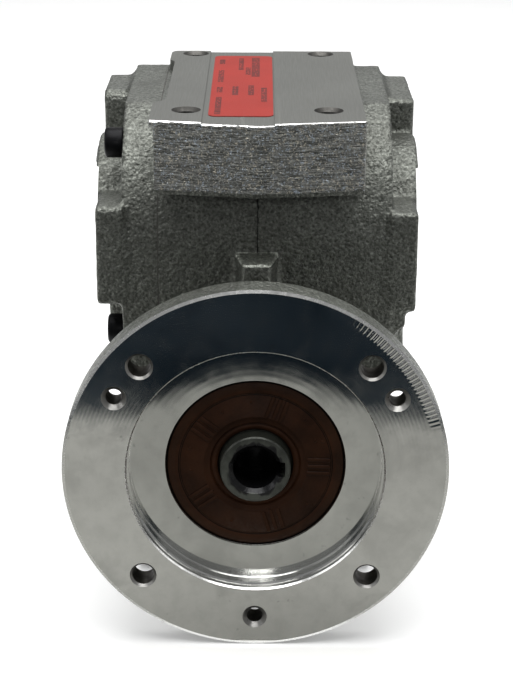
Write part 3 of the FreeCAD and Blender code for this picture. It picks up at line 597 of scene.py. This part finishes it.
# worn bright edge along the top of the block's front
for a, b in (((-33.2, 34.6), (0.5, 29.2)), ((0.5, 29.2), (35.0, 34.58))):
    run = Vector((b[0] - a[0], b[1] - a[1], 0))
    out = Vector((run.y, -run.x, 0)).normalized()
    bm = bmesh.new()
    rows = []
    for i in range(61):
        p = Vector((a[0], a[1], 0)) + run * (i / 60.0)
        top = 102.7 if -17.2 < p.x < 5.4 else 103.2
        w = 0.36 + 0.16 * noise.noise(Vector((p.x / 2.3, 3.0, 0))) + 0.12 * noise.noise(Vector((p.x / 0.8, 8.0, 0)))
        h = 0.36 + 0.15 * noise.noise(Vector((p.x / 1.7, 6.0, 0)))
        u = Vector((-w, h))
        pts = [(u.x * 1.5, top - h + u.y * 1.5), (0.6 * w, top - 1.6 * h), (2.6, top + 1.7)]
        rows.append([bm.verts.new((p + out * o) * MM + Vector((0, 0, z * MM))) for o, z in pts])
    for r1, r2 in zip(rows, rows[1:]):
        for j in range(3):
            j2 = (j + 1) % 3
            bm.faces.new((r1[j], r1[j2], r2[j2], r2[j]))
    bm.faces.new(rows[0][::-1])
    bm.faces.new(rows[-1])
    bmesh.ops.recalc_face_normals(bm, faces=bm.faces[:])
    housing = carve(housing, from_bm(bm, "cut_edge", [M["edge"]]))

# rough parting line of the mould, from under the block down over the boss
def wall_y(z):
    if z < 55.7:
        return 38.0 if z > 25 else 49.6
    return OY - math.sqrt(44.5 ** 2 - (z - OZ) ** 2) if z > OZ else 49.6


bm = bmesh.new()
rows = []
z = 80.2
while z > 27.0:
    on_boss = z < 56.2
    x = 0.25 + 0.45 * noise.noise(Vector((z / 2.1, 1, 1))) + 0.25 * noise.noise(Vector((z / 0.7, 5, 1)))
    if on_boss:
        x = 0.3 + 0.1 * noise.noise(Vector((z / 3, 1, 1)))
    w = (0.10 if on_boss else 0.42) + 0.14 * abs(noise.noise(Vector((z / 0.9, 2, 7))))
    d = (0.08 if on_boss else 0.55) + 0.2 * noise.noise(Vector((z / 1.3, 4, 3)))
    y = wall_y(z)
    rows.append([bm.verts.new(Vector((px, py, z)) * MM) for px, py in
                 ((x - w, y - 1.2), (x + w, y - 1.2), (x + 0.3 * w, y + d), (x - 0.3 * w, y + d))])
    z -= 0.55
for r1, r2 in zip(rows, rows[1:]):
    for j in range(4):
        j2 = (j + 1) % 4
        bm.faces.new((r1[j], r1[j2], r2[j2], r2[j]))
bm.faces.new(rows[0])
bm.faces.new(rows[-1][::-1])
bmesh.ops.recalc_face_normals(bm, faces=bm.faces[:])
# the groove takes the darkened copy: painted shade in the crease
housing = carve(housing, from_bm(bm, "cut_parting", [M["pit"]]))
finish_ids(housing, [
    (lambda c, n: c.z > 81.0 and c.y < 37 and n.y < -0.75, 3),
    # faces on top of the boss get the lit copy: painted light
    (lambda c, n: 53.6 < c.z < 57.5 and c.y < 49.2 and abs(c.x) < 8 and n.z > 0.25, 5)])
smooth(housing, 38)
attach(housing, "root")
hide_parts("gear_housing")

cover = casting(
    "cast_side_cover", "side_cover",
    [(0, -32.45, -32.35, -30.8), (0, -53.05, -52.95, -54.0), (2, -60.05, -59.95, -61.0)],
    [("X", 23.5, 23.5, -55.0, -37.0, OY, OZ)], [M["cast_cover"], M["milled"], M["bore"]])
bm = bmesh.new()
block(bm, (-32.4, -20), (5, 160), (-70, 110), 1)
cover = carve(cover, from_bm(bm, "cut_cover", [M["bore"], M["milled"]]))
bm = bmesh.new()
block(bm, (-60, -20), (5, 160), (-70, -60), 1)
cover = carve(cover, from_bm(bm, "cut_cover_foot", [M["bore"], M["milled"]]))
bm = bmesh.new()
boss_cut(bm, -60, -53)
cover = carve(cover, from_bm(bm, "cut_cover_boss", [M["bore"], M["milled"]]))
bm = bmesh.new()
tube(bm, "X", 23.5, 23.5, -58.0, -31.0, OY, OZ, 128, 0)
cover = carve(cover, from_bm(bm, "cut_cover_seat", [M["bore"]]))
smooth(cover, 38)
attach(cover, "root")
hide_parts("side_cover")

# --------------------------------------------------------------------- flange
flange = lathe("motor_flange", "Y", [
    (0.0, 40.42), (0.0, 59.05), (0.45, 60.0), (8.85, 60.0), (9.2, 59.8), (9.3, 59.5),
    (9.3, 37.6), (9.7, 36.9), (11.5, 35.0), (11.5, 30.0), (14.9, 30.0), (14.9, 28.02), (7.45, 28.02),
    (7.02, 28.32), (7.0, 28.6), (7.0, 39.15), (6.9, 39.4), (6.6, 39.5), (3.3, 39.5), (3.0, 40.0),
    (0.6, 40.0), (0.05, 40.38)],
    [M["flange"], M["rim"], M["floor"], M["wall"], M["chamfer"]], seg=256,
    mat_ids=[0, 4, 1, 1, 1, 1, 1, 1, 1, 1, 1, 2, 2, 2, 2, 3, 3, 3, 3, 3, 4, 4], sharp=14)
bm = bmesh.new()
for deg, r in ((45, 3.5), (135, 3.5), (225, 3.5), (315, 3.5), (30, 2.55), (150, 2.55), (270, 2.55)):
    x, z = 50 * math.cos(math.radians(deg)), 50 * math.sin(math.radians(deg))
    tube(bm, "Y", r, r, -2, 12, x, z, 64, 0)
flange = carve(flange, from_bm(bm, "cut_holes", [M["hole"]]))
bm = bmesh.new()
for deg, r, big in ((45, 3.5, 4.25), (135, 3.5, 4.25), (225, 3.5, 4.25), (315, 3.5, 4.25),
                    (30, 2.5, 3.9), (150, 2.5, 3.9), (270, 2.5, 3.9)):
    x, z = 50 * math.cos(math.radians(deg)), 50 * math.sin(math.radians(deg))
    dep = big - r + 0.35
    tube(bm, "Y", big + 0.3, r - 0.05, -0.3, dep - 0.3, x, z, 64, 0)
flange = carve(flange, from_bm(bm, "cut_sinks2", [M["sink"]]))
smooth(flange, 14)
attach(flange, "root")
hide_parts("gear_housing")

# ------------------------------------------------------------------ input seal
# material index 2 is painted shade: the creases beside the bead and round the outer edge
seal = lathe("shaft_seal", "Y", [
    (7.45, 14.02), (7.08, 14.25), (7.0, 14.5), (7.0, 15.9), (6.78, 16.12), (6.78, 16.48), (7.0, 16.75),
    (7.0, 23.55), (7.2, 23.72), (7.26, 23.9), (7.2, 24.08), (7.0, 24.25), (7.02, 25.2), (7.2, 26.5),
    (7.55, 27.5), (8.1, 27.95), (15.0, 27.95), (15.0, 26.0), (9.2, 26.0), (9.2, 18.0),
    (12.6, 14.8), (12.6, 13.2), (11.6, 12.53), (10.6, 13.2), (9.6, 13.4), (8.7, 11.75),
    (8.35, 11.45), (8.0, 11.55), (7.6, 11.95), (7.3, 12.5), (7.2, 13.0), (7.35, 13.5), (7.6, 13.72),
    (7.65, 13.88)],
    [M["seal"], M["seal_rim"], M["seal_painted_shade"]], seg=192,
    mat_ids=[0] * 7 + [2, 1, 1, 2] + [0, 1, 1] + [2] * 10 + [0, 2, 2, 2] + [0] * 6, sharp=50)
bm = bmesh.new()
bm.from_mesh(seal.data)
for g in range(5):
    for k in (-1, 0, 1):
        t = math.radians(70.5 + 72 * g)
        c, s = math.cos(t), math.sin(t)
        off = 2.3 * k
        ring = []
        for lift, grow in ((7.3, 0.16), (6.74, 0.05), (6.60, -0.14)):
            row = []
            for q in range(24):
                u = 2 * math.pi * q / 24
                w, l = 0.60 + grow, 3.75 + grow
                px = (l - w) * (1 if math.cos(u) > 0 else -1) + w * math.cos(u)
                py = w * math.sin(u)
                rad, across = 19.75 + px, off + py
                row.append(bm.verts.new(Vector((rad * c - across * s, lift, rad * s + across * c)) * MM))
            ring.append(row)
        for a, b in zip(ring, ring[1:]):
            for q in range(24):
                f = bm.faces.new((a[q], a[(q + 1) % 24], b[(q + 1) % 24], b[q]))
                f.smooth = True
                # the lowest band of each rib is painted shadow at its foot
                f.material_index = 2 if a is ring[0] else 0
        bm.faces.new(ring[-1])
        bm.faces.new(ring[0][::-1])
# small moulded pips between the rib groups
for deg, rad in ((94, 21.2), (120, 20.6), (45, 21.8), (24, 20.4), (21, 22.4), (249, 21.0), (165, 21.2),
                 (186, 20.4), (320, 21.4)):
    t = math.radians(deg)
    made = bmesh.ops.create_uvsphere(bm, u_segments=16, v_segments=10, radius=0.55 * MM,
                                     matrix=Matrix.Translation(Vector((rad * math.cos(t), 7.02, rad * math.sin(t))) * MM)
                                     @ Matrix.Diagonal((1.0, 0.5, 1.0, 1.0)))
bmesh.ops.recalc_face_normals(bm, faces=bm.faces[:])
bm.to_mesh(seal.data)
bm.free()
smooth(seal, 50)
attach(seal, "root")
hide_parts("input_seal")


# ---------------------------------------------------------------- cap screws
def cap_screw(bm, x, y, z):
    """M6 socket head cap screw along +X with its bearing face at x."""
    seg = 96
    prof = [(x - 6.0, 2.95, 0), (x - 6.0, 4.25, 0), (x - 5.75, 4.62, 0), (x - 5.3, 4.88, 1),
            (x - 0.45, 4.88, 1), (x - 0.2, 4.8, 0), (x, 4.6, 0), (x, 3.05, 0), (x + 22.8, 3.0, 0),
            (x + 24.0, 2.2, 0), (x + 24.0, 0.0, 0)]
    rows = []
    for a, r, knurl in prof:
        row = []
        for k in range(seg):
            t = 2 * math.pi * k / seg
            rr = r + (0.09 if knurl and k % 2 else (-0.05 if knurl else 0.0))
            row.append(bm.verts.new(Vector((a, y + rr * math.cos(t), z + rr * math.sin(t))) * MM))
        rows.append(row)
    for a, b in zip(rows, rows[1:]):
        for k in range(seg):
            bm.faces.new((a[k], a[(k + 1) % seg], b[(k + 1) % seg], b[k]))
    # hexagon socket with a chamfered mouth
    depths = []
    for a, grow in ((x - 6.0, None), (x - 5.55, 2.5), (x - 2.6, 2.5)):
        row = []
        for k in range(seg):
            t = 2 * math.pi * k / seg
            if grow is None:
                rr = 2.95
            else:
                w = (t + math.pi / 6) % (math.pi / 3) - math.pi / 6
                rr = grow / math.cos(w)
            row.append(bm.verts.new(Vector((a, y + rr * math.cos(t), z + rr * math.sin(t))) * MM))
        depths.append(row)
    for a, b in zip(depths, depths[1:]):
        for k in range(seg):
            bm.faces.new((b[k], b[(k + 1) % seg], a[(k + 1) % seg], a[k]))
    bm.faces.new(depths[-1])


bm = bmesh.new()
for y, z in SCREWS:
    cap_screw(bm, -44.0 if z > 0 else -41.0, y, z)
bmesh.ops.remove_doubles(bm, verts=bm.verts[:], dist=0.00001)
bmesh.ops.recalc_face_normals(bm, faces=bm.faces[:])
screws = from_bm(bm, "socket_cap_screws", [M["screw"]])
smooth(screws, 35)
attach(screws, "root")
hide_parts("cover_screws")


# ---------------------------------------------------------------------- label
def rounded(x0, x1, y0, y1, r, n=8):
    pts = []
    for cx, cy, a0 in ((x1 - r, y0 + r, -90), (x1 - r, y1 - r, 0), (x0 + r, y1 - r, 90),
                       (x0 + r, y0 + r, 180)):
        for k in range(n + 1):
            t = math.radians(a0 + 90 * k / n)
            pts.append((cx + r * math.cos(t), cy + r * math.sin(t)))
    return pts


def plate(bm, pts, z0, z1):
    low = [bm.verts.new(Vector((x, y, z0)) * MM) for x, y in pts]
    high = [bm.verts.new(Vector((x, y, z1)) * MM) for x, y in pts]
    n = len(pts)
    bm.faces.new(low[::-1])
    bm.faces.new(high)
    for k in range(n):
        bm.faces.new((low[k], low[(k + 1) % n], high[(k + 1) % n], high[k]))


bm = bmesh.new()
plate(bm, rounded(-15.4, 5.0, 42.0, 136.3, 2.5), 102.7, 102.93)
label = from_bm(bm, "rating_sticker", [M["label"]])
smooth(label, 30)
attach(label, "root")
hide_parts("rating_label")

# Rows of small printed marks standing for text; they spell nothing.
bm = bmesh.new()
ROWS = [(-12.6, 1.9, [(44.5, 70.0), (76.0, 85.0), (92.0, 112.0), (122.0, 130.0)]),
        (-7.4, 2.0, [(72.0, 86.0)]), (-2.2, 1.9, [(72.0, 88.0)]), (-3.4, 1.7, [(104.0, 116.0)]),
        (-5.9, 1.7, [(112.0, 133.0)]), (-0.8, 2.8, [(101.0, 134.0)]), (2.1, 1.9, [(62.0, 84.0)])]
for x, tall, spans in ROWS:
    for y0, y1 in spans:
        y = y0
        while y < y1 - 1.0:
            w = rng.uniform(0.55, 1.15)
            cuts = rng.choice((1, 2, 2))
            if cuts == 1:
                plate(bm, [(x - tall / 2, y), (x + tall / 2, y), (x + tall / 2, y + w), (x - tall / 2, y + w)],
                      102.93, 102.945)
            else:
                gap = rng.uniform(-0.25, 0.25) * tall
                for lo, hi in ((x - tall / 2, x + gap - 0.14), (x + gap + 0.14, x + tall / 2)):
                    plate(bm, [(lo, y), (hi, y), (hi, y + w), (lo, y + w)], 102.93, 102.945)
            y += w + rng.uniform(0.45, 0.8)
printed = from_bm(bm, "sticker_print", [M["print"]])
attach(printed, "root")


# --------------------------------------------------- CAD nodes that stay shown
def dress(node, mat, angle=30):
    o = NODES[node]
    if not o.data.materials:
        o.data.materials.append(None)
    for i in range(len(o.material_slots)):
        o.material_slots[i].link = "OBJECT"
        o.material_slots[i].material = M[mat]


for node in NODES:
    if node.endswith("_ring"):
        dress(node, "bearing")
    elif node.endswith("_balls"):
        dress(node, "ball")
    elif node.endswith("_cage"):
        dress(node, "cage")
for node, mat in (("cover_gasket", "gasket"), ("dowel_pins", "shaft"), ("input_shaft", "hub"),
                  ("input_circlip", "screw"), ("output_shaft", "shaft"), ("output_spacer", "shaft"),
                  ("output_seal_left", "black_seal"), ("output_seal_right", "black_seal"),
                  ("intermediate_shaft", "shaft"), ("gear_keys", "shaft"),
                  ("intermediate_sleeve", "shaft"), ("output_gear", "gear"),
                  ("intermediate_pinion", "gear"), ("crown_gear", "gear"), ("bevel_pinion", "gear"),
                  ("drain_plug", "zinc"), ("plug_washer", "copper")):
    dress(node, mat)

# ---------------------------------------------------------------------- stage
FLOOR = -60.0
k = Mat("pale_floor", (0.88, 0.88, 0.875), 0.0, 0.75)
k.b.inputs["Emission Color"].default_value = (1.0, 1.0, 1.0, 1.0)
k.b.inputs["Emission Strength"].default_value = 0.22
k.color(k.mix(k.range(k.noise(3, 2, 0.5), 0.3, 0.7, 0, 1), (0.90, 0.90, 0.895), (0.93, 0.93, 0.925)))
bm = bmesh.new()
block(bm, (-2500, 2500), (-2500, 2500), (FLOOR - 20.05, FLOOR - 0.05))
floor = from_bm(bm, "studio_floor", [k.m])
# Low cards in front of the part, unseen by the camera: a grey one near the
# flange and a dark blue one beyond it, so the bright faces have something
# plain to mirror.
k = Mat("dark_card", (0.016, 0.020, 0.026), 0.0, 0.9)
k.b.inputs["Specular IOR Level"].default_value = 0.0
k.color(k.mix(k.range(k.noise(9, 3, 0.6), 0.35, 0.65, 0, 1), (0.004, 0.007, 0.010), (0.018, 0.024, 0.030)))
dark = k.m
k = Mat("grey_card", (0.30, 0.30, 0.29), 0.0, 0.9)
k.b.inputs["Specular IOR Level"].default_value = 0.0
k.color(k.mix(k.range(k.noise(6, 3, 0.6), 0.35, 0.65, 0, 1), (0.25, 0.25, 0.235), (0.33, 0.33, 0.31)))
grey = k.m
meet = [(-900 + 45 * i, -184 + 5 * noise.noise(Vector((i / 1.7, 0, 0))) + 0.02 * (-900 + 45 * i))
        for i in range(41)]
bm = bmesh.new()
plate(bm, [(-900, -1500), (900, -1500)] + meet[::-1], FLOOR + 0.2, FLOOR + 0.5)
far_card = from_bm(bm, "far_card", [dark])
bm = bmesh.new()
plate(bm, meet + [(900, -2.0), (-900, -2.0)], FLOOR + 0.2, FLOOR + 0.5)
near_card = from_bm(bm, "near_card", [grey])
for c in (far_card, near_card):
    c.visible_camera = False
    c.visible_shadow = False


def area(name, at, aim, size, power, color=(1, 1, 1)):
    d = bpy.data.lights.new(name, "AREA")
    d.shape, d.size, d.size_y = "RECTANGLE", size[0], size[1]
    d.energy, d.color = power, color
    o = bpy.data.objects.new(name, d)
    bpy.context.scene.collection.objects.link(o)
    o.location = at
    o.rotation_euler = (Vector(aim) - Vector(at)).to_track_quat("-Z", "Y").to_euler()
    return o


area("soft_top", (0.0, 0.02, 1.25), (0, 0.02, 0.03), (1.3, 1.5), 24.0)
area("soft_left", (-1.1, -0.1, 0.75), (0, 0.06, 0.03), (0.7, 0.7), 2.3)
area("soft_right", (1.1, 0.1, 0.75), (0, 0.06, 0.03), (0.7, 0.7), 2.0)
area("soft_back", (0.0, 1.3, 0.75), (0, 0.06, 0.05), (1.2, 0.6), 2.0)
area("soft_window", (-0.04, -1.5, 0.575), (0, 0, 0), (0.24, 0.16), 1.3)
world = bpy.data.worlds.new("studio")
bpy.context.scene.world = world
world.use_nodes = True
world.node_tree.nodes["Background"].inputs[0].default_value = (0.80, 0.81, 0.82, 1)
world.node_tree.nodes["Background"].inputs[1].default_value = 0.30

# --------------------------------------------------------------------- camera
yaw, pitch, roll = math.radians(-0.104), math.radians(20.724), math.radians(0.293)
fwd = Vector((math.sin(yaw) * math.cos(pitch), math.cos(yaw) * math.cos(pitch), -math.sin(pitch)))
right = Vector((math.cos(yaw), -math.sin(yaw), 0))
up = right.cross(fwd)
r2 = right * math.cos(roll) + up * math.sin(roll)
u2 = -right * math.sin(roll) + up * math.cos(roll)
cam = bpy.data.objects.new("camera", bpy.data.cameras.new("camera"))
bpy.context.scene.collection.objects.link(cam)
cam.data.sensor_width, cam.data.sensor_height = 36.0, 36.0
cam.data.sensor_fit = "AUTO"
cam.data.lens = 1770.0 / 700.0 * 36.0
cam.data.clip_start, cam.data.clip_end = 0.01, 30.0
turn = Matrix((r2, u2, -fwd)).transposed().to_4x4()
cam.matrix_world = Matrix.Translation((0.00108, -0.4988, 0.22977)) @ turn
bpy.context.scene.camera = cam
bpy.context.scene.view_settings.view_transform = "Standard"
